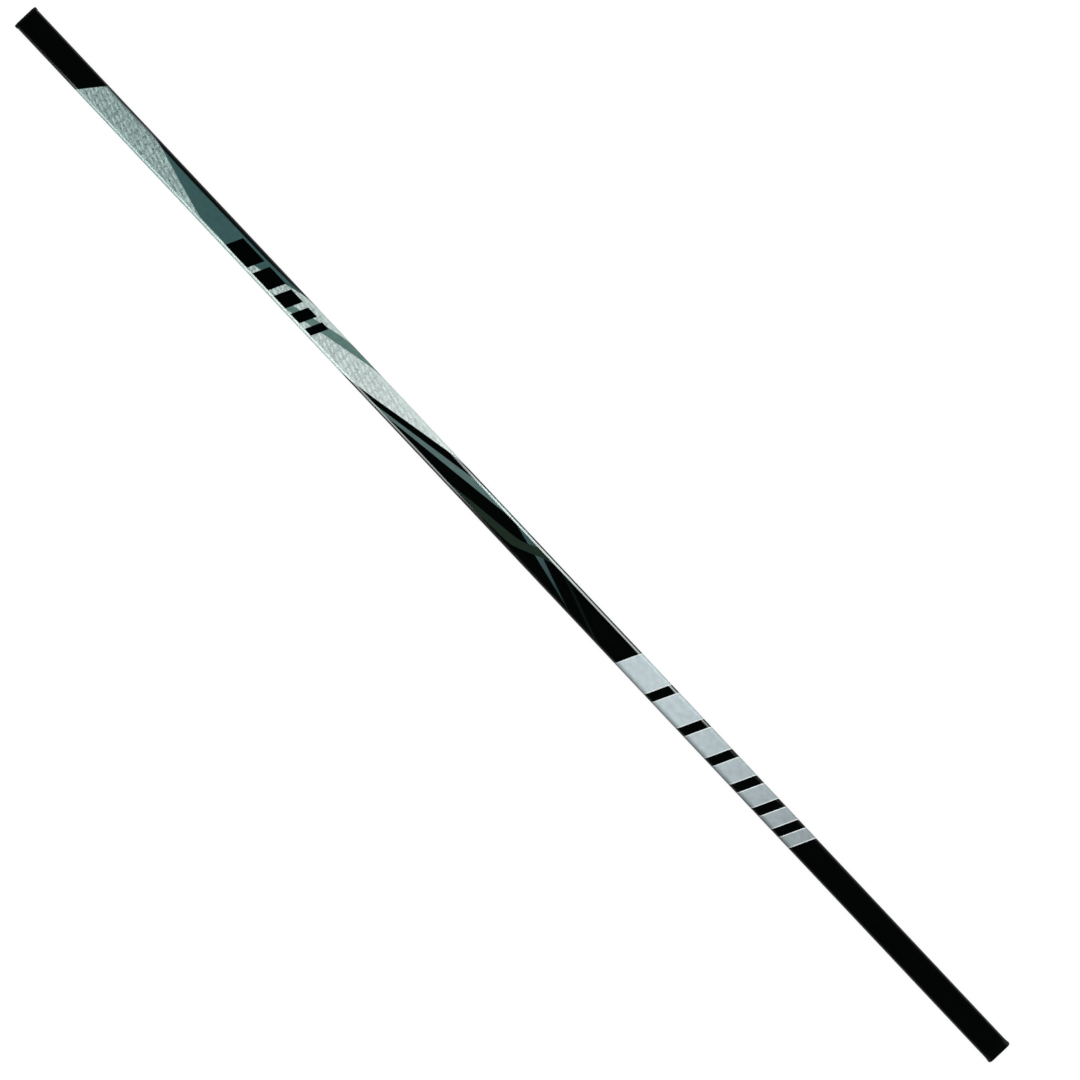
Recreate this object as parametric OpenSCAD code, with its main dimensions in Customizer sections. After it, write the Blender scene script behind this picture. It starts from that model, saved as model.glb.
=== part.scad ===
/* [Stick] */
// Whole length of the stick, from the butt face to the end of the tip
stick_len = 1524; // [900:1:1650]

/* [Shaft] */
// Width of the shaft across its wide faces
shaft_w = 29.2; // [27:0.1:34]
// Thickness of the shaft across its narrow faces
shaft_t = 20; // [18:0.1:25]
// Radius of the shaft's four long edges
shaft_edge_r = 5.5; // [5:0.1:7]
// Thickness of the laminate wall
shaft_wall = 1.7; // [1.3:0.05:1.9]

/* [Butt plug] */
// Thickness of the flange that covers the end of the shaft
flange_t = 3; // [2.4:0.1:6]
// How far the flange stands proud of the shaft all round
flange_lip = 0.6; // [0.2:0.05:1.5]
// Radius of the flange's outer edge
flange_edge_r = 0.9; // [0.4:0.05:1.2]
// Radius of the flange's edge beside the shaft
flange_back_r = 0.3; // [0.15:0.05:0.5]
// Length of the stem inside the shaft
plug_stem_len = 32; // [28:0.5:60]
// Wall of the hollow stem, measured between its fins
plug_wall = 1.5; // [1:0.05:1.8]
// Thickness of the solid end between the flange and the hollow
plug_web = 4; // [2:0.1:8]
// Length of the plain collar between the flange and the first fin
plug_collar_len = 6; // [3:0.5:7]
// Number of grip fins round the stem
plug_fins = 4; // [2:1:5]
// Height of a grip fin over the stem
plug_fin_h = 0.8; // [0.4:0.05:1]
// Length of a grip fin along the stem
plug_fin_len = 3.4; // [2:0.1:3.6]
// Length of a grip fin's flat crest
plug_fin_crest = 0.8; // [0.4:0.1:1.2]
// Running clearance between the plug and the bore
plug_gap = 0.06; // [0.03:0.01:0.1]

/* [Tip] */
// Length of the nose that shows beyond the shaft
nose_len = 10; // [9:0.5:20]
// How far the nose flares out past the shaft
nose_flare = 0.6; // [0.2:0.05:1.5]
// Length of the hollow curve that leads out to the flare
nose_sweep_len = 6; // [3:0.1:6.4]
// Radius of the nose's front edge
nose_edge_r = 2.5; // [1:0.1:2.6]
// Number of grip grooves round the nose
nose_grooves = 3; // [1:1:3]
// Distance from one grip groove to the next
nose_groove_pitch = 2.1; // [1.4:0.05:2.2]
// Depth of a grip groove
nose_groove_d = 0.35; // [0.15:0.05:0.6]
// Width of a grip groove at the surface
nose_groove_w = 0.9; // [0.5:0.05:1.2]
// Length of the stem glued into the shaft
tip_stem_len = 55; // [45:0.5:90]
// Wall of the hollow stem, measured between its glue grooves
tip_wall = 2.1; // [1.5:0.05:2.5]
// Thickness of the solid end between the nose and the hollow
tip_web = 12; // [8:0.5:18]
// Length of each ring that centres the stem in the bore
tip_ring_len = 5; // [3:0.5:8]
// Clearance between the centring rings and the bore
tip_ring_gap = 0.05; // [0.03:0.01:0.1]
// Number of glue grooves round the stem
tip_locks = 3; // [1:1:4]
// Depth of a glue groove
tip_lock_d = 0.7; // [0.3:0.05:0.9]
// Width of a glue groove
tip_lock_w = 4; // [2:0.5:6]
// Length of the sloped lead-in at the stem's inner end
tip_lead = 1.5; // [0.5:0.1:2.5]

/* [Glue] */
// Thickness of the glue film between the tip's stem and the bore
glue_film = 0.4; // [0.25:0.05:0.5]
// Hairline left all round the glue film
glue_hairline = 0.02; // [0.01:0.01:0.04]

/* [Moulding] */
// Edge radius of the hollows inside the plug and the tip
hollow_edge_r = 1.4; // [0.6:0.1:2]

/* [Hidden] */

$fn = 96;
// How far a cut runs past the face that it opens
over = 1;
// Number of chords in the nose's hollow curve
sweep_steps = 12;

// Places along the stick, whose middle is at zero
butt_face = -stick_len / 2;
shaft_start = butt_face + flange_t;
tip_face = stick_len / 2;
shaft_end = tip_face - nose_len;
plug_end = shaft_start + plug_stem_len;
tip_stem_end = shaft_end - tip_stem_len;

// The stick lies on its proud rims, which sets the height of its axis
axis_z = shaft_t / 2 + max(flange_lip, nose_flare);

// The core is the rectangle through the centres of the four long edges
core_w = shaft_w - 2 * shaft_edge_r;
core_t = shaft_t - 2 * shaft_edge_r;

// Distances out from the core
bore_out = shaft_edge_r - shaft_wall;
flange_out = shaft_edge_r + flange_lip;
fin_out = bore_out - plug_gap;
plug_out = fin_out - plug_fin_h;
nose_out = shaft_edge_r + nose_flare;
ring_out = bore_out - tip_ring_gap;
film_out = bore_out - glue_film;
lock_out = film_out - tip_lock_d;

// Radius of the nose's hollow curve, which leaves the shaft flush and ends at the flare
sweep_r = (nose_sweep_len * nose_sweep_len + nose_flare * nose_flare) / (2 * nose_flare);
crest_z = tip_face - nose_edge_r;
sweep_z = crest_z - nose_sweep_len;

fin_pitch = (plug_stem_len - plug_collar_len) / plug_fins;
lock_pitch = (tip_stem_len - 2 * tip_ring_len - tip_lead) / (tip_locks + 1);

// Distance out of the nose's surface at a place along the stick
function nose_at(z) = z <= sweep_z
    ? shaft_edge_r
    : shaft_edge_r + sweep_r - sqrt(sweep_r * sweep_r - pow(z - sweep_z, 2));

// Place of one glue groove's middle
function lock_z(i) = tip_stem_end + tip_lead + tip_ring_len + i * lock_pitch;

// Lays a model that stands along +Z down along +X, with its wide faces up and down
module lay_down() {
    translate([0, 0, axis_z])
        rotate([90, 0, 90])
            children();
}

module rounded_rect(w, t, r) {
    square([w - 2 * r, t], center = true);
    square([w, t - 2 * r], center = true);
    for (x = [-1, 1], y = [-1, 1])
        translate([x * (w / 2 - r), y * (t / 2 - r)])
            circle(r);
}

// The stick's cross-section, at a distance out from the core
module section(out) {
    rounded_rect(core_w + 2 * out, core_t + 2 * out, out);
}

// A moulded hollow's cross-section, at a distance out from the core
module hollow_section(out) {
    rounded_rect(core_w + 2 * out, core_t + 2 * out, hollow_edge_r);
}

// Sweeps a profile round the core: its x is the distance out, its y the place along the stick
module sweep_round() {
    for (turn = [0:3]) {
        side = turn % 2 == 0 ? [core_w, core_t] : [core_t, core_w];
        rotate(90 * turn)
            translate([side[0] / 2, 0, 0]) {
                rotate([90, 0, 0])
                    linear_extrude(side[1], center = true)
                        children();
                translate([0, side[1] / 2, 0])
                    rotate_extrude(angle = 90)
                        children();
            }
    }
}

// Fills the core between two places along the stick
module fill_core(z0, z1) {
    translate([-core_w / 2, -core_t / 2, z0])
        cube([core_w, core_t, z1 - z0]);
}

// Cuts a moulded hollow between two places along the stick
module hollow_out(out, z0, z1) {
    translate([0, 0, z0])
        linear_extrude(z1 - z0)
            hollow_section(out);
}

// Profile of the flange, with a rounded outer edge and a softened back edge
module flange_profile() {
    back_z = shaft_start - flange_back_r;
    edge_z = butt_face + flange_edge_r;
    polygon([
        [0, butt_face],
        [flange_out - flange_edge_r, butt_face],
        [flange_out, edge_z],
        [flange_out, back_z],
        [flange_out - flange_back_r, shaft_start],
        [0, shaft_start]
    ]);
    translate([flange_out - flange_edge_r, edge_z])
        circle(flange_edge_r);
    translate([flange_out - flange_back_r, back_z])
        circle(flange_back_r);
}

// Profile of one grip fin: it leans towards the flange, so that the plug goes in easily and stays
module fin_profile(z) {
    polygon([
        [plug_out - over, z],
        [fin_out, z],
        [fin_out, z + plug_fin_crest],
        [plug_out, z + plug_fin_len],
        [plug_out - over, z + plug_fin_len]
    ]);
}

module plug_profile() {
    flange_profile();
    translate([0, shaft_start - over])
        square([plug_out, plug_stem_len + over]);
    translate([0, shaft_start - over])
        square([fin_out, plug_collar_len + over]);
    for (i = [1:plug_fins])
        fin_profile(plug_end - i * fin_pitch + (fin_pitch - plug_fin_len));
}

module nose_profile() {
    difference() {
        union() {
            polygon(concat(
                [[0, shaft_end], [shaft_edge_r, shaft_end]],
                [for (i = [0:sweep_steps])
                    let (z = sweep_z + i * nose_sweep_len / sweep_steps)
                    [nose_at(z), z]],
                [[nose_out - nose_edge_r, tip_face], [0, tip_face]]
            ));
            translate([nose_out - nose_edge_r, crest_z])
                circle(nose_edge_r);
        }
        for (i = [0:nose_grooves - 1])
            groove_profile((shaft_end + crest_z) / 2 + (i - (nose_grooves - 1) / 2) * nose_groove_pitch);
    }
}

// Profile cut away by one grip groove, with sloped sides and a flat floor
module groove_profile(z) {
    half = nose_groove_w / 2;
    floor_out = nose_at(z) - nose_groove_d;
    polygon([
        [nose_at(z - half), z - half],
        [floor_out, z - half / 2],
        [floor_out, z + half / 2],
        [nose_at(z + half), z + half],
        [nose_out + over, z + half],
        [nose_out + over, z - half]
    ]);
}

module tip_stem_profile() {
    lead_z = tip_stem_end + tip_lead;
    difference() {
        union() {
            polygon([
                [0, tip_stem_end],
                [ring_out - tip_lead / 2, tip_stem_end],
                [ring_out, lead_z],
                [ring_out, lead_z + tip_ring_len],
                [0, lead_z + tip_ring_len]
            ]);
            translate([0, tip_stem_end + tip_lead])
                square([film_out, tip_stem_len - tip_lead]);
            translate([0, shaft_end - tip_ring_len])
                square([ring_out, tip_ring_len + over]);
        }
        for (i = [1:tip_locks])
            translate([lock_out, lock_z(i) - tip_lock_w / 2])
                square([tip_lock_d + over, tip_lock_w]);
    }
}

// Profile of the glue: the film between the centring rings, with a bead in each glue groove
module glue_profile() {
    z0 = tip_stem_end + tip_lead + tip_ring_len + glue_hairline;
    z1 = shaft_end - tip_ring_len - glue_hairline;
    film_w = glue_film - 2 * glue_hairline;
    bead_l = tip_lock_w - 2 * glue_hairline;
    translate([film_out + glue_hairline, z0])
        square([film_w, z1 - z0]);
    for (i = [1:tip_locks])
        translate([lock_out + glue_hairline, lock_z(i) - bead_l / 2])
            square([tip_lock_d + film_w, bead_l]);
}

module shaft_tube() {
    color("darkslategray")
        lay_down()
            translate([0, 0, shaft_start])
                linear_extrude(shaft_end - shaft_start)
                    difference() {
                        section(shaft_edge_r);
                        section(bore_out);
                    }
}

module butt_plug() {
    color([0.07, 0.08, 0.07])
        lay_down()
            difference() {
                union() {
                    sweep_round()
                        plug_profile();
                    fill_core(butt_face, plug_end);
                }
                hollow_out(plug_out - plug_wall, shaft_start + plug_web, plug_end + over);
            }
}

module tip() {
    color([0.05, 0.05, 0.05])
        lay_down()
            difference() {
                union() {
                    sweep_round() {
                        nose_profile();
                        tip_stem_profile();
                    }
                    fill_core(tip_stem_end, tip_face);
                }
                hollow_out(film_out - tip_wall, tip_stem_end - over, shaft_end - tip_web);
            }
}

module tip_adhesive() {
    color("wheat")
        lay_down()
            sweep_round()
                glue_profile();
}

shaft_tube();
butt_plug();
tip();
tip_adhesive();
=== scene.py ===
"""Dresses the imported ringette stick: a printed composite shaft, a rubber butt plug and a nylon tip."""
import math
from itertools import accumulate

import bmesh
import bpy
from mathutils import Matrix, Vector


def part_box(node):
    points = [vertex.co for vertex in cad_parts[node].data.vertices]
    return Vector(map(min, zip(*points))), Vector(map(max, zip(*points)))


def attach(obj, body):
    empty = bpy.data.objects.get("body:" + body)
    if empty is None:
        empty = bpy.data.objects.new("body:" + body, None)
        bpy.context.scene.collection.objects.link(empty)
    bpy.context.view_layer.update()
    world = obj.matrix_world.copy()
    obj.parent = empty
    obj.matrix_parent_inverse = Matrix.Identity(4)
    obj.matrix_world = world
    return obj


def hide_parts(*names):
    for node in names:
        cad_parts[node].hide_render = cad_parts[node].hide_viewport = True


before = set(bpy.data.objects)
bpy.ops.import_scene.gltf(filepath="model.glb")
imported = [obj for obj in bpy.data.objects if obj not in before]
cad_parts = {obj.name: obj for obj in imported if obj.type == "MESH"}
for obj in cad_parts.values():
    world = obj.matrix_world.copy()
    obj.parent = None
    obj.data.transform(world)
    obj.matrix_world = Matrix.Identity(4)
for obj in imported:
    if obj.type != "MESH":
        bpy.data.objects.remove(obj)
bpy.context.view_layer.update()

MM = 0.001

# Where the photograph, 1080 pixels square, shows the stick
PHOTO_SIZE = 1080
STICK_LENGTH_PX = 1424.7
STICK_MIDDLE_PX = (512.45, 534.99)
STICK_SLOPE = math.radians(46.766)

# The stick's section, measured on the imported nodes
shaft_low, shaft_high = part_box("shaft_tube")
plug_low, plug_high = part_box("butt_plug")
tip_low, tip_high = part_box("tip")
STICK_LENGTH = tip_high.x - plug_low.x
SHAFT_W = shaft_high.y - shaft_low.y
SHAFT_T = shaft_high.z - shaft_low.z
AXIS_Z = (shaft_low.z + shaft_high.z) / 2

# The construction's own sizes. The core is what the rounded edges leave of the section.
EDGE_R = 5.5 * MM
WALL = 1.7 * MM
CORE_W = SHAFT_W - 2 * EDGE_R
CORE_T = SHAFT_T - 2 * EDGE_R
BORE_OUT = EDGE_R - WALL
EDGE_STEPS = 16

# The girth of the stick, from the middle of a wide face to the middle of a narrow one, in mm
QUARTER_GIRTH = (CORE_W / 2 + EDGE_R * math.pi / 2 + CORE_T / 2) / MM


# Meshes. A profile is a list of places (x, out): how far along the stick, and how far out from its core.

# How close to the ends of a straight run its extra places stand, and how long a run has to be to get them
HOLD = 0.3 * MM
LONG_RUN = 3.5 * HOLD
MERGE = 0.001 * MM
CREASE = math.radians(32)


def placed(co, x, out):
    """The point of a ring that stands across the stick at x, out from the core beside a given point."""
    up = co.z - AXIS_Z
    core = Vector((
        max(-CORE_W / 2, min(CORE_W / 2, co.y)),
        max(-CORE_T / 2, min(CORE_T / 2, up)),
    ))
    away = (Vector((co.y, up)) - core).normalized()
    spot = core + away * out
    return Vector((x, spot.x, AXIS_Z + spot.y))


def first_face(bm, x, out):
    """A rounded rectangle that stands across the stick at x, with its outline out from the core."""
    across = Matrix.Translation((x, 0, AXIS_Z)) @ Matrix(((0, 0, 1), (1, 0, 0), (0, 1, 0))).to_4x4()
    bmesh.ops.create_grid(bm, x_segments=1, y_segments=1, size=0.5)
    bmesh.ops.scale(bm, vec=(CORE_W + 2 * out, CORE_T + 2 * out, 1), verts=bm.verts)
    bmesh.ops.bevel(
        bm, geom=bm.verts[:], offset=out, offset_type="OFFSET", segments=EDGE_STEPS,
        profile=0.5, affect="VERTICES", material=-1,
    )
    bmesh.ops.transform(bm, matrix=across, verts=bm.verts)
    return bm.faces[:][0]


def carry(bm, ring, place, reach, layer):
    """Extrudes a ring of edges to a profile's next place and returns the new ring, with its reach noted."""
    made = bmesh.ops.extrude_edge_only(bm, edges=ring)["geom"]
    verts = {v for v in made if isinstance(v, bmesh.types.BMVert)}
    for v in verts:
        v.co = placed(v.co, *place)
        v[layer] = reach
    return [e for e in made if isinstance(e, bmesh.types.BMEdge) and verts.issuperset(e.verts)]


def held(profile):
    """Adds a place near both ends of each long straight run, which keeps its shading flat up to there."""
    places = [profile[0]]
    for start, end in zip(profile, profile[1:]):
        run = math.dist(start, end)
        if run > LONG_RUN:
            for part in (HOLD / run, 1 - HOLD / run):
                places.append(tuple(a + (b - a) * part for a, b in zip(start, end)))
        places.append(end)
    return places


def reaches(profile):
    """How far each place of a profile is from its start, along the profile."""
    return list(accumulate(map(math.dist, profile, profile[1:]), initial=0.0))


def swept(name, profile, closed=False, panels=None):
    """Sweeps a profile round the core: an open one gets a face at each end, a closed one is joined up."""
    bm = bmesh.new()
    layer = bm.verts.layers.float.new("reach")
    face = first_face(bm, *profile[0])
    start = list(face.edges)
    if closed:
        bmesh.ops.delete(bm, geom=[face], context="FACES_ONLY")
    ring = start
    places = held(profile)
    for place, reach in list(zip(places, reaches(places)))[1:]:
        ring = carry(bm, ring, place, reach, layer)
    if closed:
        bmesh.ops.bridge_loops(bm, edges=start + ring)
        unwrap(bm, layer, panels)
    else:
        caps = [face] + bmesh.ops.edgeloop_fill(bm, edges=ring)["faces"]
        bmesh.ops.inset_individual(bm, faces=caps, thickness=HOLD, use_even_offset=True)
    return finished(name, bm)


def around(co):
    """Distance round the section from the middle of the top face, in mm, with the sign of Y."""
    side, up = abs(co.y), co.z - AXIS_Z
    turn = math.atan2(max(0, side - CORE_W / 2), max(0, abs(up) - CORE_T / 2))
    distance = (min(side, CORE_W / 2) + turn * EDGE_R + max(0, CORE_T / 2 - abs(up))) / MM
    return math.copysign(distance if up > 0 else 2 * QUARTER_GIRTH - distance, co.y)


def unwrap(bm, layer, panels):
    """Lays a closed sweep out flat for the bake. A panel is a stretch of its profile and its box."""
    bake = bm.loops.layers.uv.new("OFBake")
    whole = panels[-1][1]
    seam = around(Vector((0, -CORE_W / 2, AXIS_Z - SHAFT_T / 2)))
    for face in bm.faces:
        reach = [v[layer] for v in face.verts]
        if max(reach) - min(reach) > whole / 2:
            reach = [r or whole for r in reach]
        girth = [around(v.co) for v in face.verts]
        if max(girth) - min(girth) > 2 * QUARTER_GIRTH:
            girth = [g + 4 * QUARTER_GIRTH if g < 0 else g for g in girth]
        middle = sum(reach) / len(reach)
        start, end, (left, low, right, high) = next(p for p in panels if middle < p[1])
        for loop, r, g in zip(face.loops, reach, girth):
            u = (r - start) / (end - start)
            v = (g - seam) / (4 * QUARTER_GIRTH)
            loop[bake].uv = (left + (right - left) * u, low + (high - low) * v)


def finished(name, bm):
    """Turns a bmesh into a smooth-shaded object with crisp edges."""
    bmesh.ops.remove_doubles(bm, verts=bm.verts, dist=MERGE)
    bmesh.ops.recalc_face_normals(bm, faces=bm.faces)
    mesh = bpy.data.meshes.new(name)
    bm.to_mesh(mesh)
    bm.free()
    mesh.shade_smooth()
    mesh.set_sharp_from_angle(angle=CREASE)
    piece = bpy.data.objects.new(name, mesh)
    bpy.context.scene.collection.objects.link(piece)
    return piece


def arc(x, out, radius, start, end, steps=8):
    """Places round an arc of a profile, from one angle to another in degrees, where 0 points along +X."""
    angles = [math.radians(start + (end - start) * i / steps) for i in range(steps + 1)]
    return [(x + radius * math.cos(a), out + radius * math.sin(a)) for a in angles]


# The shaft's map for the bake, a square of side 1: its outside is cut along its length into rows, which lie
# over each other. Above them are the bore in one low row and the two rims side by side.
MAP_ROWS = 4
MAP_ROW_H = 0.225
MAP_BORE_H = 0.04
MAP_GAP = 0.004


def bake_panels(reach, cuts, tip_mouth, butt_mouth):
    """The shaft's profile in stretches, in order, each with its box on the map: left, low, right, high."""
    bore_low = MAP_ROWS * (MAP_ROW_H + MAP_GAP)
    rims_low = bore_low + MAP_BORE_H + MAP_GAP
    panels = []
    for row, (start, end) in enumerate(zip(cuts, cuts[1:])):
        low = row * (MAP_ROW_H + MAP_GAP)
        panels.append((reach[start], reach[end], (0, low, 1, low + MAP_ROW_H)))
    panels.append((reach[cuts[-1]], reach[tip_mouth], (0, rims_low, 0.5 - MAP_GAP, 1)))
    panels.append((reach[tip_mouth], reach[butt_mouth], (0, bore_low, 1, bore_low + MAP_BORE_H)))
    panels.append((reach[butt_mouth], reach[-1], (0.5 + MAP_GAP, rims_low, 1, 1)))
    return panels


def make_shaft():
    """The composite tube, with softened rims round both mouths of its bore."""
    soft = 0.2 * MM
    steps = 3
    x0, x1 = shaft_low.x, shaft_high.x
    butt_edge = arc(x0 + soft, EDGE_R - soft, soft, 180, 90, steps)
    row_ends = [(x0 + (x1 - x0) * (i + 1) / MAP_ROWS, EDGE_R) for i in range(MAP_ROWS - 1)]
    tip_edge = arc(x1 - soft, EDGE_R - soft, soft, 90, 0, steps)
    tip_rim = arc(x1 - soft, BORE_OUT + soft, soft, 0, -90, steps)
    butt_rim = arc(x0 + soft, BORE_OUT + soft, soft, 270, 180, steps)
    outside = butt_edge + row_ends + tip_edge
    profile = outside + tip_rim + butt_rim
    cuts = [0, *range(len(butt_edge), len(butt_edge + row_ends)), len(outside) - 1]
    butt_mouth = len(outside + tip_rim)
    panels = bake_panels(reaches(profile + profile[:1]), cuts, butt_mouth - 1, butt_mouth)
    shaft = swept("printed_shaft", profile, closed=True, panels=panels)
    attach(shaft, "stick")
    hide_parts("shaft_tube")
    return shaft


def plug_flange(butt, seat):
    """Places over the plug's flange, from its rounded face to the edge of its back."""
    face_r = 0.9 * MM
    back_r = 0.3 * MM
    flange_out = EDGE_R + (plug_high.y - plug_low.y - SHAFT_W) / 2
    places = arc(butt + face_r, flange_out - face_r, face_r, 180, 90)
    return places + arc(seat - back_r, flange_out - back_r, back_r, 90, 0, 4)


def plug_stem(seat, end):
    """Places down the plug's stem and back into its hollow: a plain collar, then grip fins that lean."""
    collar_len = 6 * MM
    fins = 4
    fin_h = 0.8 * MM
    fin_len = 3.4 * MM
    fin_crest = 0.8 * MM
    gap = 0.06 * MM
    wall = 1.5 * MM
    web = 4 * MM
    fin_out = BORE_OUT - gap
    stem_out = fin_out - fin_h
    pitch = (end - seat - collar_len) / fins
    places = [(seat, fin_out), (seat + collar_len, fin_out), (seat + collar_len, stem_out)]
    for i in range(fins):
        root = end - (fins - i) * pitch + pitch - fin_len
        places += [(root, stem_out), (root, fin_out)]
        places += [(root + fin_crest, fin_out), (root + fin_len, stem_out)]
    return places + [(end, stem_out - wall), (seat + web, stem_out - wall)]


def make_plug():
    """The rubber butt plug: its flange, collar, leaning grip fins and hollow stem."""
    flange_t = 3 * MM
    butt = plug_low.x
    seat = butt + flange_t
    plug = swept("rubber_plug", plug_flange(butt, seat) + plug_stem(seat, plug_high.x))
    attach(plug, "plug")
    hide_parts("butt_plug")
    return plug


def tip_nose(face, seam):
    """Places down the tip's nose: the rounded front edge, the flare with its grip grooves, and the seam."""
    edge_r = 2.5 * MM
    sweep_len = 6 * MM
    grooves = 3
    groove_pitch = 2.1 * MM
    groove_d = 0.35 * MM
    groove_w = 0.9 * MM
    crest = face - edge_r
    flare = (tip_high.y - tip_low.y - SHAFT_W) / 2
    nose_out = EDGE_R + flare
    sweep_start = crest - sweep_len
    sweep_r = (sweep_len ** 2 + flare ** 2) / (2 * flare)

    def nose_at(x):
        along = max(0.0, x - sweep_start)
        return EDGE_R + sweep_r - math.sqrt(sweep_r ** 2 - along ** 2)

    places = arc(crest, nose_out - edge_r, edge_r, 0, 90, 12)
    for i in reversed(range(grooves)):
        middle = (seam + crest) / 2 + (i - (grooves - 1) / 2) * groove_pitch
        floor = nose_at(middle) - groove_d
        for step in (0.5, 0.25, -0.25, -0.5):
            x = middle + step * groove_w
            places.append((x, nose_at(x) if abs(step) == 0.5 else floor))
    return places + [(seam, EDGE_R)]


def tip_stem(seam, end):
    """Places down the tip's stem and back into its hollow: two centring rings, with glue grooves between."""
    film = 0.4 * MM
    ring_gap = 0.05 * MM
    ring_len = 5 * MM
    locks = 3
    lock_d = 0.7 * MM
    lock_w = 4 * MM
    lead = 1.5 * MM
    wall = 2.1 * MM
    web = 12 * MM
    ring_out = BORE_OUT - ring_gap
    film_out = BORE_OUT - film
    lock_pitch = (seam - end - 2 * ring_len - lead) / (locks + 1)
    back = end + lead + ring_len
    places = [(seam, ring_out), (seam - ring_len, ring_out), (seam - ring_len, film_out)]
    for i in reversed(range(1, locks + 1)):
        middle = back + i * lock_pitch
        high, low = middle + lock_w / 2, middle - lock_w / 2
        places += [(high, film_out), (high, film_out - lock_d), (low, film_out - lock_d), (low, film_out)]
    places += [(back, film_out), (back, ring_out), (end + lead, ring_out), (end, ring_out - lead / 2)]
    return places + [(end, film_out - wall), (seam - web, film_out - wall)]


def make_tip():
    """The nylon tip: its flared and grooved nose, and the hollow stem that is glued into the shaft."""
    nose_len = 10 * MM
    face = tip_high.x
    seam = face - nose_len
    tip = swept("moulded_tip", tip_nose(face, seam) + tip_stem(seam, tip_low.x))
    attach(tip, "stick")
    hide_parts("tip")
    return tip


# Materials

def ink(red, green, blue):
    """A colour written as it looks on a screen, from 0 to 255, as the renderer's own values."""
    def linear(c):
        c /= 255
        return c / 12.92 if c <= 0.04045 else ((c + 0.055) / 1.055) ** 2.4
    return (linear(red), linear(green), linear(blue), 1.0)


class Number:
    """A value that changes over a surface. Python's operators on it add Math nodes."""

    def __init__(self, nodes, socket):
        self.nodes = nodes
        self.socket = socket

    def math(self, operation, *others, clamp=False):
        values = dict(enumerate((self,) + others))
        node = self.nodes.node("ShaderNodeMath", {"operation": operation, "use_clamp": clamp}, values)
        return Number(self.nodes, node.outputs[0])

    def swapped(self, operation, other):
        node = self.nodes.node("ShaderNodeMath", {"operation": operation}, {0: other, 1: self})
        return Number(self.nodes, node.outputs[0])

    def __add__(self, other):
        return self.math("ADD", other)

    def __radd__(self, other):
        return self.swapped("ADD", other)

    def __sub__(self, other):
        return self.math("SUBTRACT", other)

    def __rsub__(self, other):
        return self.swapped("SUBTRACT", other)

    def __mul__(self, other):
        return self.math("MULTIPLY", other)

    def __rmul__(self, other):
        return self.swapped("MULTIPLY", other)

    def __truediv__(self, other):
        return self.math("DIVIDE", other)

    def __mod__(self, other):
        return self.math("FLOORED_MODULO", other)

    def __abs__(self):
        return self.math("ABSOLUTE")

    def past(self, edge, blur=0.25):
        """1 where this is over the edge and 0 where it is under, with a soft step between."""
        return ((self - edge) / blur + 0.5).math("ADD", 0, clamp=True)

    def short_of(self, edge, blur=0.25):
        """1 where this is under the edge."""
        return 1 - self.past(edge, blur)

    def least(self, other):
        return self.math("MINIMUM", other)

    def most(self, other):
        return self.math("MAXIMUM", other)


class Nodes:
    """A node tree under construction, and the one way to add a node to it."""

    def __init__(self, tree):
        self.tree = tree

    def node(self, kind, settings=None, values=None):
        """Adds a node: its settings are set first, then its sockets get their values or links."""
        made = self.tree.nodes.new(kind)
        for name, value in (settings or {}).items():
            if name == "points":
                shape_curve(made.mapping, value)
            elif name == "stops":
                shape_ramp(made.color_ramp, value)
            else:
                setattr(made, name, value)
        for name, value in (values or {}).items():
            self.put(value, made.inputs[name])
        return made

    def put(self, value, socket):
        """Gives a socket a value, or links it."""
        if isinstance(value, Number):
            value = value.socket
        if isinstance(value, bpy.types.NodeSocket):
            self.tree.links.new(value, socket)
        else:
            socket.default_value = value

    def background_rays(self):
        """1 for the rays that see the background: the camera's, and those of gloss and glass."""
        path = self.node("ShaderNodeLightPath").outputs
        seen = Number(self, path["Is Camera Ray"])
        for kind in ("Is Glossy Ray", "Is Transmission Ray"):
            seen = seen.most(path[kind])
        return seen

    def show(self, under, over, mask, output):
        """Ends the tree with one shader over another where the mask is 1."""
        both = self.node("ShaderNodeMixShader", {}, {0: mask, 1: under.outputs[0], 2: over.outputs[0]})
        self.put(both.outputs[0], self.tree.nodes[output].inputs["Surface"])


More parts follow.
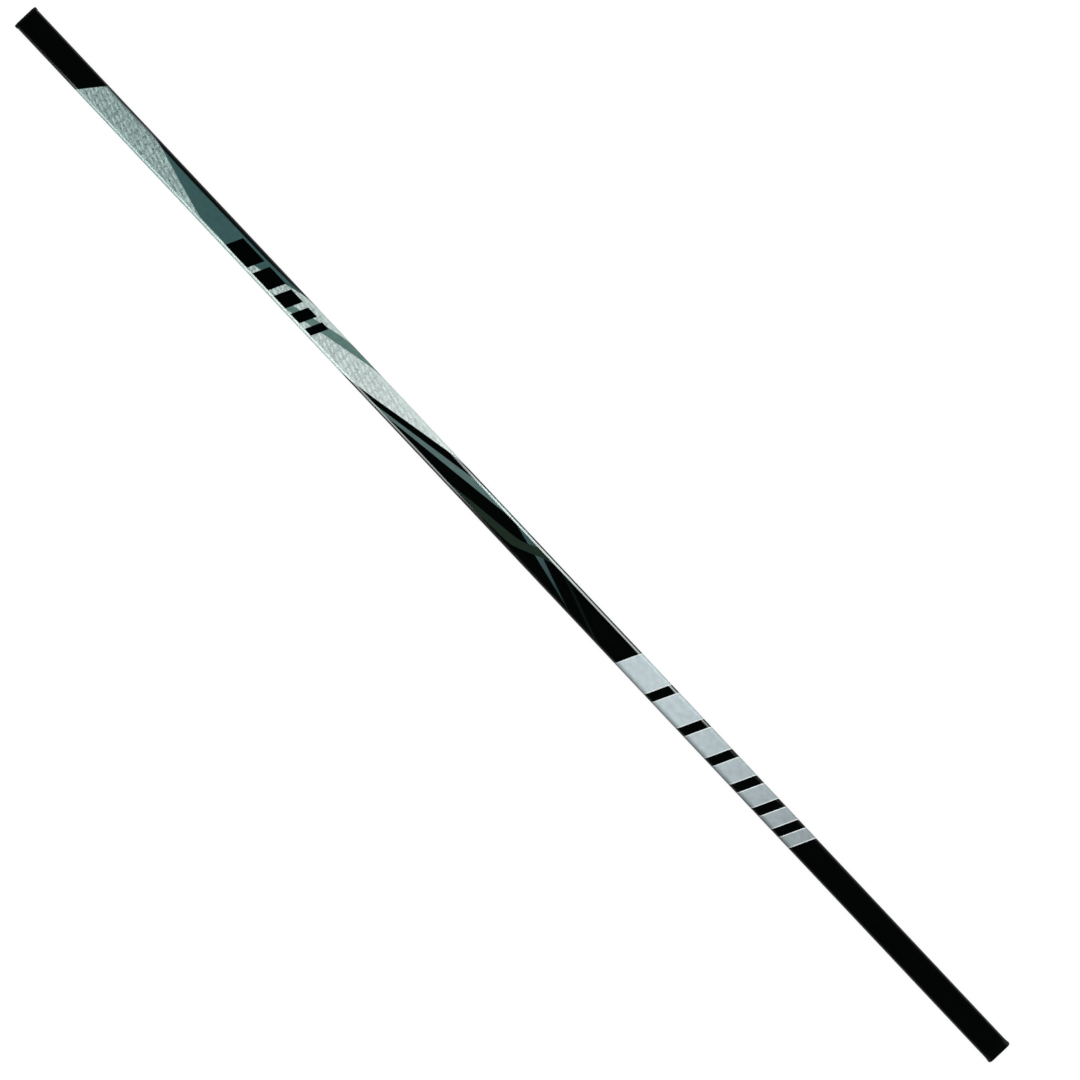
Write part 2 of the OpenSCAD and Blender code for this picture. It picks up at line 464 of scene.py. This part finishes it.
class Finish(Nodes):
    """A material under construction. It knows a point's place in mm along, across and up from the axis."""

    def __init__(self, name, **constants):
        self.material = bpy.data.materials.new(name)
        self.material.use_nodes = True
        super().__init__(self.material.node_tree)
        self.shader = self.tree.nodes["Principled BSDF"]
        for socket, value in constants.items():
            self.shader.inputs[socket.replace("_", " ")].default_value = value
        self.object_co = self.node("ShaderNodeTexCoord").outputs["Object"]
        apart = self.node("ShaderNodeSeparateXYZ", {}, {0: self.object_co}).outputs
        self.along = Number(self, apart["X"]) / MM
        self.across = Number(self, apart["Y"]) / MM
        self.up = (Number(self, apart["Z"]) - AXIS_Z) / MM

    def drive(self, name, value):
        """Puts a value on one of the surface's own sockets."""
        self.put(value, self.shader.inputs[name])

    def curve(self, value, points):
        """The smooth curve through points of (value, result)."""
        ins = [p[0] for p in points]
        outs = [p[1] for p in points]
        in_low, in_size = min(ins), max(ins) - min(ins)
        out_low, out_size = min(outs), max(outs) - min(outs)
        bent = [((a - in_low) / in_size, (b - out_low) / out_size) for a, b in points]
        node = self.node("ShaderNodeFloatCurve", {"points": bent}, {"Value": (value - in_low) / in_size})
        return Number(self, node.outputs[0]) * out_size + out_low

    def noise(self, scale, detail=2.0, stretch=(1, 1, 1), turn=0):
        """Cloudy noise from 0 to 1: so many features per metre, stretched along each axis and turned."""
        place = self.node(
            "ShaderNodeMapping", {"vector_type": "TEXTURE"},
            {"Vector": self.object_co, "Scale": stretch, "Rotation": (0, 0, math.radians(turn))},
        )
        node = self.node(
            "ShaderNodeTexNoise", {"noise_dimensions": "3D"},
            {"Vector": place.outputs[0], "Scale": scale, "Detail": detail},
        )
        return Number(self, node.outputs["Fac"])

    def chance(self, *places):
        """A random number from 0 to 1 for each set of whole numbers."""
        spot = self.node("ShaderNodeCombineXYZ", {}, dict(enumerate(places)))
        node = self.node("ShaderNodeTexWhiteNoise", {"noise_dimensions": "3D"}, {"Vector": spot.outputs[0]})
        return Number(self, node.outputs["Value"])

    def mix(self, under, over, mask):
        """One colour laid over another where the mask is 1."""
        node = self.node("ShaderNodeMix", {"data_type": "RGBA"}, {0: mask, 6: under, 7: over})
        return node.outputs[2]

    def shade(self, colour, amount):
        """A colour made lighter or darker by an amount."""
        if isinstance(colour, tuple):
            colour = colour[:3]
        node = self.node("ShaderNodeVectorMath", {"operation": "SCALE"}, {0: colour, "Scale": amount})
        return node.outputs[0]

    def bump(self, height, depth, strength=1.0):
        """Raises the surface by a height from 0 to 1 times a depth in metres."""
        node = self.node("ShaderNodeBump", {}, {"Height": height, "Distance": depth, "Strength": strength})
        self.drive("Normal", node.outputs[0])

    def girth(self):
        """Distance round the section from the middle of the nearest wide face, in mm, with the sign of Y."""
        core_w, core_t, edge_r = CORE_W / 2 / MM, CORE_T / 2 / MM, EDGE_R / MM
        side = abs(self.across)
        height = abs(self.up)
        turn = (side - core_w).most(0).math("ARCTAN2", (height - core_t).most(0))
        distance = side.least(core_w) + turn * edge_r + (core_t - height).most(0)
        return distance * self.across.math("SIGN")

    def wrap(self, girth):
        """The same distance carried on round the narrow sides, to the middle of the underside."""
        crisp = 0.0001
        below = self.up.short_of(0, crisp)
        return girth + below * (self.across.math("SIGN") * (2 * QUARTER_GIRTH) - girth * 2)


def shape_curve(mapping, points):
    """Gives a curve node its points."""
    curve = mapping.curves[0]
    for spot in points[1:-1]:
        curve.points.new(*spot)
    curve.points[0].location = points[0]
    curve.points[-1].location = points[-1]
    mapping.update()


def shape_ramp(ramp, stops):
    """Gives a ramp node its grey stops, each a place and a level."""
    for place, _ in stops[1:-1]:
        ramp.elements.new(place)
    for element, (place, level) in zip(ramp.elements, stops):
        element.position = place
        element.color = (level, level, level, 1)


# The print. A band's edge is a list of places in mm: how far along the stick from its middle, and how far
# round its girth from the middle of the wide face. Between them it is a smooth curve, beyond them straight.
TEAL_LEFT = [(-566, 12.1), (-540, 5.4), (-515, -1.2), (-476, -10.8)]
TEAL_RIGHT = [(-420.4, -10.2), (-401, -4.5), (-349.8, 10.1)]
# The roof is painted shade: a dark band along the rounded edge at +Y, where it turns away from the light
ROOF_SHADE_EDGE = [
    (-660, 13.2), (-630, 11.6), (-606, 11.5), (-580, 11.8), (-552, 10.1),
    (-430, 9.8), (-385, 10.4), (-345, 13), (-305, 24),
]
SAGE_TOP = [(-364, -9.7), (-331, -0.8), (-285.7, 11)]
SAGE_FOOT = [(-338, -10.2), (-303, -2.1), (-243, 11)]
SILVER_FOOT = [(-226, -10.7), (-206.5, -7.2), (-168, 0.4), (-117, 10.3)]
STRIPE_TOP = [(-200, -11.3), (-155, -3.5), (-91, 7.7)]
STRIPE_FOOT = [(-172, -9.7), (-134, -4.6), (-95, 0.6), (-37.5, 8.4)]
OLIVE_TOP = [(-82, -10.6), (-57, -7.1), (-18, -2.3), (5, 0.9), (11.7, 2.7), (24, 8.6), (30, 11.5)]
OLIVE_FOOT = [(-61, -12.4), (-23, -10.2), (3, -8.6), (11.7, -6.1), (25, -0.4), (42, 7), (51, 10)]
NEEDLE_TOP = [(42.7, 5.9), (65, -1.1), (94.5, -10)]
NEEDLE_FOOT = [(-1, 10), (35, 2.1), (67, -4.6), (93, -10.4)]
GHOST = [(73.8, 9.7), (119.7, -5.2)]

# The slanted cut where the silver begins, how far ahead of it the roof's painted shade begins, and the line
# along the edge where the teal and the sage end
CUT_MIDDLE = -656.6
CUT_LEAN = 0.75
CUT_BLUR = 0.8
ROOF_SHADE_AHEAD = 2
RIM = -10.7

# Where the print and its painted shade change along the stick: the middle of each change and the length that
# it takes, in mm
# Painted shade: the roof's dark band is soft before this place and crisper after it
ROOF_SHADE_SHARPENS = (-566, 24)
SILVER_BRIGHTENS = (-310, 420)
NEEDLE_ENDS = (75, 70)
# Painted shade: the silver bars grow darker toward the tip, as the light falls off
BARS_SHADE_ALONG = (370, 260)

# The same for changes round the girth, among them the painted highlight on the silver's edges and the
# painted shade on the bars
GHOST_HALF_W = (1.2, 1.6)
COAT_THICKENS = (9.6, 1.4)
# Painted highlight: between these two the silver is lighter on its rounded edges, and its weave calmer there
EDGE_HIGHLIGHT_FROM = (11.3, 2.4)
EDGE_HIGHLIGHT_TO = (17, 3)
# Painted shade: the silver bars are darker on the rounded edge at -Y, away from the light
BARS_SHADE_EDGE = (-11.6, 5)

BLACK = ink(2, 3, 3)
CARBON = ink(5, 8, 7)
SILVER = ink(131, 151, 148)
BRIGHT_SILVER = ink(196, 207, 204)
TEAL = ink(57, 86, 86)
SAGE = ink(90, 118, 112)
STRIPE = ink(83, 107, 105)
OLIVE = ink(30, 43, 35)
NEEDLE = ink(60, 82, 84)
BAR_SILVER = ink(186, 199, 203)
BAR_RIM = ink(218, 226, 226)

# Slanted bars that grow narrower: the first one's start, width, how each next one shrinks, gap and slant
SILVER_BARS = {"start": 181, "width": 46, "shrink": 0.84, "gap": 11.5, "count": 7, "slant": 0.42}
BLACK_BARS = {"start": -432, "width": 34, "shrink": 0.74, "gap": 8, "count": 5, "slant": 0.42}
BLACK_BARS_LOW = -11.2
BLACK_BARS_HIGH = 7.6
BAR_RIM_W = 1.1


def reaching(points):
    """Runs a band's edge on straight at both ends, to past the middles of the narrow sides."""
    def past_side(near, end):
        lean = (end[0] - near[0]) / (end[1] - near[1])
        side = math.copysign(QUARTER_GIRTH + 2, end[1] - near[1])
        return (end[0] + (side - end[1]) * lean, side)
    return [past_side(points[1], points[0]), *points, past_side(points[-2], points[-1])]


def bar_masks(finish, girth, bars):
    """Where a row of bars is, and where their rims are."""
    place = finish.along - girth * bars["slant"]
    left = bars["start"]
    width = bars["width"]
    whole, rim = None, None
    for _ in range(bars["count"]):
        inside = width / 2 - abs(place - (left + width / 2))
        bar = inside.past(0)
        edge = bar * inside.short_of(BAR_RIM_W)
        whole = bar if whole is None else whole.most(bar)
        rim = edge if rim is None else rim.most(edge)
        left += width + bars["gap"]
        width *= bars["shrink"]
    return whole, rim


def band_masks(finish, girth):
    """Where each of the printed bands is, and the roof: a dark band of painted shade along the rounded edge
    at +Y.
    """
    along = finish.along

    def above(points, blur=0.35):
        return girth.past(finish.curve(along, points), blur)

    def band(foot, top):
        return above(reaching(foot)) * (1 - above(reaching(top)))

    past_cut = along - girth * CUT_LEAN - CUT_MIDDLE
    rim = girth.past(RIM)
    roof_shade_blur = 3.8 - 2.4 * along.past(*ROOF_SHADE_SHARPENS)
    roof_shade_end = along.short_of(ROOF_SHADE_EDGE[-1][0])
    return {
        "silver": past_cut.past(0, CUT_BLUR) * above(reaching(SILVER_FOOT)),
        "teal": above(reaching(TEAL_LEFT)) * above(reaching(TEAL_RIGHT)) * rim,
        # The roof is painted shade, laid in black over the print
        "roof": past_cut.past(-ROOF_SHADE_AHEAD, CUT_BLUR) * above(ROOF_SHADE_EDGE, roof_shade_blur) * roof_shade_end,
        "sage": band(SAGE_FOOT, SAGE_TOP) * rim,
        "stripe": band(STRIPE_FOOT, STRIPE_TOP),
        "olive": band(OLIVE_FOOT, OLIVE_TOP),
        "needle": band(NEEDLE_FOOT, NEEDLE_TOP) * along.short_of(*NEEDLE_ENDS),
        "ghost": abs(girth - finish.curve(along, reaching(GHOST))).short_of(*GHOST_HALF_W),
    }


def woven_floats(finish, wrapped):
    """A weave's floats, slanted, in columns and of ragged strands, and the luck of each strand."""
    column_w = 9.68
    rows_round = 18
    row_h = 4 * QUARTER_GIRTH / rows_round
    row_offset = 0.5
    slant = 0.27
    strands = 4
    stagger = 0.22
    wander_along, wander_round = 0.3, 0.35
    half_length, end_blur = 0.36, 0.2
    half_width, side_blur = 0.5, 0.42
    smooth_share, stepped_share = 0.45, 0.55
    least_bright, luck_share = 0.75, 0.5
    other_luck = 7.0
    drift = finish.noise(38, detail=2.0) - 0.5
    place = finish.along / column_w + drift * wander_along
    column = place.math("FLOOR")
    side = place - column - 0.5
    row = (wrapped + side * (column_w * slant)) / row_h + column * row_offset + drift * wander_round
    strand = (row * strands).math("FLOOR")
    luck = finish.chance(column, strand)
    shift = finish.chance(strand, column, other_luck) - 0.5
    smooth = 1 - abs(row % 1 * 2 - 1)
    stepped = 1 - abs((strand + 0.5) / strands % 1 * 2 - 1)
    ridge = (smooth * smooth_share + stepped * stepped_share).past(half_width, side_blur)
    ends = abs(side + shift * stagger).short_of(half_length, end_blur)
    return ridge * ends * (least_bright + luck * luck_share), luck


def weave(finish, wrapped):
    """How bright a place of the printed weave is, about 0 on average: floats, strokes, fibres and specks."""
    mean_float, mean = 0.3, 0.5
    float_tone, luck_tone, stroke_tone, fibre_tone, speck_tone = 0.6, 0.2, 1.2, 1.9, 0.6
    floats, luck = woven_floats(finish, wrapped)
    strokes = finish.noise(620, detail=1.0, stretch=(2.6, 1, 1), turn=-40)
    fibres = finish.noise(1100, detail=1.0, stretch=(2, 1, 1))
    specks = finish.noise(950, detail=0.0, stretch=(1.3, 1, 1)).past(0.62, blur=0.12)
    coarse = (floats - mean_float) * float_tone + (luck - mean) * luck_tone
    return coarse + (strokes - mean) * stroke_tone + (fibres - mean) * fibre_tone - specks * speck_tone


def silver_print(finish, girth):
    """Silver ink with its weave: brighter and plainer toward the tip, and on the rounded edges lighter, a
    painted highlight, with less weave.
    """
    level, level_drop = 1.22, 0.08
    highlight_lift, highlight_drop = 0.2, 0.25
    contrast, contrast_drop = 0.8, 0.5
    edge_calm = 0.7
    brighter = finish.along.past(*SILVER_BRIGHTENS)
    # rounded: the rounded edges, where the silver gets a painted highlight and a calmer weave
    rounded = abs(girth).past(*EDGE_HIGHLIGHT_FROM) * abs(girth).short_of(*EDGE_HIGHLIGHT_TO)
    woven = weave(finish, finish.wrap(girth)) * (1 - rounded * edge_calm)
    even = level - brighter * level_drop + rounded * (highlight_lift - brighter * highlight_drop)
    plain = finish.mix(SILVER, BRIGHT_SILVER, brighter)
    return finish.shade(plain, even + woven * (contrast - brighter * contrast_drop))


def printed_colour(finish, girth, masks, silver_bars, silver_rims):
    """The print's colours, each laid over those before it, with a faint unevenness over them all. The roof's
    black is painted shade, and the silver bars are painted darker toward the tip and on the edge at -Y,
    painted shade.
    """
    roof_shade_cover, ghost_cover = 0.97, 0.3
    bar_shade_fall, bar_edge_shade = 0.5, 0.62
    cloud_tone, mottle_tone = 0.1, 0.45
    # Painted shade on the silver bars: darker toward the tip, and darker on the rounded edge at -Y
    bar_shade_level = 1 - finish.along.past(*BARS_SHADE_ALONG) * bar_shade_fall
    lower_edge_shade = 1 - girth.short_of(*BARS_SHADE_EDGE) * bar_edge_shade
    black_bars, _ = bar_masks(finish, girth, BLACK_BARS)
    black_bars = black_bars * girth.past(BLACK_BARS_LOW) * girth.short_of(BLACK_BARS_HIGH)
    carbon = finish.noise(900, detail=2.0, stretch=(50, 1, 1))
    colour = finish.mix(BLACK, CARBON, carbon)
    for over, mask in (
        (silver_print(finish, girth), masks["silver"]),
        (TEAL, masks["teal"]),
        (SAGE, masks["sage"]),
        # The roof, a dark band of painted shade, laid over in black
        (BLACK, (masks["roof"] * roof_shade_cover).most(black_bars)),
        (STRIPE, masks["stripe"]),
        (OLIVE, masks["ghost"] * ghost_cover),
        (NEEDLE, masks["needle"]),
        (OLIVE, masks["olive"]),
        # The bars and their rims carry painted shade
        (finish.shade(BAR_SILVER, bar_shade_level * lower_edge_shade), silver_bars),
        (finish.shade(BAR_RIM, lower_edge_shade), silver_rims),
    ):
        colour = finish.mix(colour, over, mask)
    clouds = finish.noise(14, detail=3.0, stretch=(3, 1, 1))
    mottle = finish.noise(190, detail=3.0, stretch=(1.5, 1, 1)) - 0.5
    return finish.shade(colour, 1 - cloud_tone / 2 + clouds * cloud_tone + mottle * mottle_tone)


def printed_laminate():
    """Black composite with silver, teal and olive bands under a clear coat, thick on the rounded edges."""
    flat_coat, edge_coat = 0.025, 0.265
    flake_dulls, bars_dull = 0.2, 0.7
    flake_metal = 0.04
    ink_rough, flake_rough = 0.3, 0.15
    finish = Finish("printed_laminate", Coat_Roughness=0.08, Coat_IOR=1.8, Specular_IOR_Level=0.0)
    girth = finish.girth()
    masks = band_masks(finish, girth)
    silver_bars, silver_rims = bar_masks(finish, girth, SILVER_BARS)
    flake = (masks["silver"] - masks["teal"]).most(silver_bars)
    coat = flat_coat + abs(girth).past(*COAT_THICKENS) * edge_coat
    finish.drive("Base Color", printed_colour(finish, girth, masks, silver_bars, silver_rims))
    finish.drive("Coat Weight", coat * (1 - flake * flake_dulls - silver_bars * bars_dull))
    finish.drive("Metallic", flake * flake_metal)
    finish.drive("Roughness", ink_rough + flake * flake_rough)
    finish.bump(finish.noise(120, detail=1.0, stretch=(2, 1, 1)), depth=0.012 * MM, strength=0.2)
    return finish.material


def bare_laminate():
    """The bore and the cut rims: dark matt composite with its layers showing."""
    finish = Finish("bare_laminate", Roughness=0.62, Specular_IOR_Level=0.35)
    layers = finish.noise(900, detail=2.0, stretch=(20, 1, 1))
    finish.drive("Base Color", finish.mix(ink(16, 17, 17), ink(46, 48, 48), layers))
    finish.bump(layers, depth=0.05 * MM, strength=0.6)
    return finish.material


def parting_line(finish):
    """The fine line that a mould's halves leave round the middle of the narrow sides."""
    half_w, blur = 0.14, 0.1
    return abs(finish.up).short_of(half_w, blur)


def moulded_rubber():
    """Matt black rubber with a fine skin and a faint parting line, which stops short of the end face."""
    rough, bloom_rough = 0.68, 0.14
    skin_height, line_short = 0.4, 0.5
    finish = Finish("moulded_rubber", Specular_IOR_Level=0.08)
    skin = finish.noise(2600, detail=3.0)
    bloom = finish.noise(70, detail=3.0)
    parting = parting_line(finish) * finish.along.past(plug_low.x / MM + line_short)
    finish.drive("Base Color", finish.mix(ink(3, 5, 4), ink(11, 14, 13), bloom * bloom))
    finish.drive("Roughness", rough + bloom * bloom_rough)
    finish.bump(skin * skin_height + parting, depth=0.06 * MM, strength=0.6)
    return finish.material


def moulded_nylon():
    """Satin black nylon: a fine moulded grain, a parting line, and wear at the front edge, where it rubs."""
    rough, grain_rough, wear_rough = 0.42, 0.1, 0.12
    grain_height, line_height = 0.5, 0.8
    worn_len, line_short = 3, 0.8
    finish = Finish("moulded_nylon", Specular_IOR_Level=0.08)
    face = tip_high.x / MM
    grain = finish.noise(3200, detail=2.0)
    scuffs = finish.noise(240, detail=4.0, stretch=(1, 4, 4))
    parting = parting_line(finish) * finish.along.short_of(face - line_short)
    wear = finish.along.past(face - worn_len, worn_len) * scuffs.past(0.62, blur=0.1)
    finish.drive("Base Color", finish.mix(ink(1, 2, 2), ink(12, 13, 13), wear))
    finish.drive("Roughness", rough + grain * grain_rough + wear * wear_rough)
    finish.bump(grain * grain_height + parting * line_height, depth=0.05 * MM, strength=0.5)
    return finish.material


def hot_melt():
    """Waxy amber glue."""
    finish = Finish("hot_melt", Roughness=0.35, Subsurface_Weight=0.2, Subsurface_Scale=0.002)
    clouds = finish.noise(400, detail=3.0)
    finish.drive("Base Color", finish.mix(ink(196, 172, 118), ink(228, 212, 168), clouds))
    finish.bump(clouds, depth=0.1 * MM, strength=0.4)
    return finish.material


def dress_shaft(shaft):
    """Prints the outside of the shaft and leaves its bore and rims bare."""
    skin = 0.1 * MM
    shaft.data.materials.append(printed_laminate())
    shaft.data.materials.append(bare_laminate())
    for face in shaft.data.polygons:
        middle = face.center
        side, up = abs(middle.y) - CORE_W / 2, abs(middle.z - AXIS_Z) - CORE_T / 2
        out = math.hypot(max(0, side), max(0, up))
        face.material_index = 1 if out < EDGE_R - skin else 0


# Camera, floor and light

CAMERA_DISTANCE = 6.4
FLOOR_SIZE = 30

# The paper's own glow: its strength near the stick, how much more it is far out, from where to where in mm,
# and its share of what shows
PAPER_GLOW = 1.1
PAPER_FAR_GLOW = 0.06
PAPER_FAR = 6000
PAPER_GLOW_SHARE = 0.8

# The even light of the room, and how bright gloss sees it, from the horizon (0) to straight above (1)
ROOM_LIGHT = 0.5
CEILING = [(0, 1), (0.04, 0.24), (0.14, 0.096), (0.5, 0.048), (0.85, 0.008), (1, 0.0024)]

# The square lamp overhead: its height and side in metres and its power in watts. Gloss doesn't see it.
OVERHEAD_Z = 3.6
OVERHEAD_SIZE = 4.2
OVERHEAD_POWER = 100

# Upright softboxes far out on both sides: where across, from where to where along the stick, top, brightness
SOFTBOXES = [
    {"name": "far_softbox", "away": 3.0, "start": -0.165, "end": 0.43, "top": 3.3, "brightness": 18.2},
    {"name": "far_key_softbox", "away": 2.98, "start": -0.12, "end": 0.115, "top": 3.8, "brightness": 11.5},
    {"name": "near_softbox", "away": -3.0, "start": -1.0, "end": -0.124, "top": 2.4, "brightness": 14.2},
]
SOFTBOX_LOW = 0.02
SOFTBOX_TINT = (0.9, 1, 0.975)


def set_camera():
    """A long lens straight over the wide face, so that the stick lies in the frame as photographed."""
    metres_per_px = STICK_LENGTH / STICK_LENGTH_PX
    right_px = PHOTO_SIZE / 2 - STICK_MIDDLE_PX[0]
    down_px = PHOTO_SIZE / 2 - STICK_MIDDLE_PX[1]
    slope, lean = math.cos(STICK_SLOPE), math.sin(STICK_SLOPE)
    x = (right_px * slope + down_px * lean) * metres_per_px
    y = (right_px * lean - down_px * slope) * metres_per_px
    data = bpy.data.cameras.new("camera")
    data.sensor_width = 36
    data.lens = data.sensor_width * CAMERA_DISTANCE / (PHOTO_SIZE * metres_per_px)
    camera = bpy.data.objects.new("camera", data)
    camera.location = (x, y, shaft_high.z + CAMERA_DISTANCE)
    camera.rotation_euler = (0, 0, STICK_SLOPE)
    bpy.context.scene.collection.objects.link(camera)
    bpy.context.scene.camera = camera


def paper():
    """White paper that shows white and keeps a soft shadow. It glows a little more far from the lamp."""
    finish = Finish("paper", Base_Color=ink(232, 232, 232), Roughness=0.9, Specular_IOR_Level=0.0)
    away = (finish.along * finish.along + finish.across * finish.across).math("SQRT")
    strength = PAPER_GLOW + away.past(PAPER_FAR, PAPER_FAR) * PAPER_FAR_GLOW
    glow = finish.node("ShaderNodeEmission", {}, {"Strength": strength})
    finish.show(finish.shader, glow, finish.background_rays() * PAPER_GLOW_SHARE, "Material Output")
    return finish.material


def set_floor():
    """A wide white floor."""
    bm = bmesh.new()
    bmesh.ops.create_grid(bm, x_segments=1, y_segments=1, size=FLOOR_SIZE)
    floor = finished("floor", bm)
    floor.data.materials.append(paper())


def set_world():
    """Even grey light all round. The background is white, and gloss sees a dark ceiling above it."""
    world = bpy.data.worlds.new("studio")
    bpy.context.scene.world = world
    world.use_nodes = True
    sky = Nodes(world.node_tree)
    white = (1, 1, 1, 1)
    room = world.node_tree.nodes["Background"]
    sky.put(white, room.inputs["Color"])
    sky.put(ROOM_LIGHT, room.inputs["Strength"])
    direction = sky.node("ShaderNodeTexCoord").outputs["Generated"]
    height = sky.node("ShaderNodeSeparateXYZ", {}, {0: direction}).outputs["Z"]
    ceiling = Number(sky, sky.node("ShaderNodeValToRGB", {"stops": CEILING}, {"Fac": height}).outputs[0])
    level = ceiling.most(sky.node("ShaderNodeLightPath").outputs["Is Camera Ray"])
    backdrop = sky.node("ShaderNodeBackground", {}, {"Color": white, "Strength": level})
    sky.show(room, backdrop, sky.background_rays(), "World Output")


def add_lamp(name, place, target, size, power, gloss, diffuse, tint=(1, 1, 1)):
    """A rectangular lamp aimed at a target, which lights by gloss, diffusely or both."""
    data = bpy.data.lights.new(name, "AREA")
    data.shape = "RECTANGLE"
    data.size, data.size_y = size
    data.energy = power
    data.color = tint
    lamp = bpy.data.objects.new(name, data)
    aim = Vector(target) - Vector(place)
    lamp.location = place
    lamp.rotation_euler = aim.to_track_quat("-Z", "Y").to_euler()
    lamp.visible_camera = False
    lamp.visible_glossy = gloss
    lamp.visible_diffuse = diffuse
    bpy.context.scene.collection.objects.link(lamp)


def add_softbox(name, away, start, end, top, brightness):
    """An upright softbox beside the stick, from one place along it to another, seen only in its gloss."""
    size = (end - start, top - SOFTBOX_LOW)
    place = ((start + end) / 2, away, (SOFTBOX_LOW + top) / 2)
    power = brightness * math.pi * size[0] * size[1]
    target = (place[0], 0, place[2])
    add_lamp(name, place, target, size, power, gloss=True, diffuse=False, tint=SOFTBOX_TINT)


def set_lights():
    """Soft light from overhead, and softboxes on both sides that draw the bright lines on the edges."""
    size = (OVERHEAD_SIZE, OVERHEAD_SIZE)
    add_lamp("overhead", (0, 0, OVERHEAD_Z), (0, 0, 0), size, OVERHEAD_POWER, gloss=False, diffuse=True)
    for softbox in SOFTBOXES:
        add_softbox(**softbox)


shaft = make_shaft()
plug = make_plug()
tip = make_tip()
dress_shaft(shaft)
plug.data.materials.append(moulded_rubber())
tip.data.materials.append(moulded_nylon())
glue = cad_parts["tip_adhesive"]
glue.data.materials.clear()
glue.data.materials.append(hot_melt())

set_camera()
set_floor()
set_world()
set_lights()
bpy.context.scene.view_settings.view_transform = "Standard"
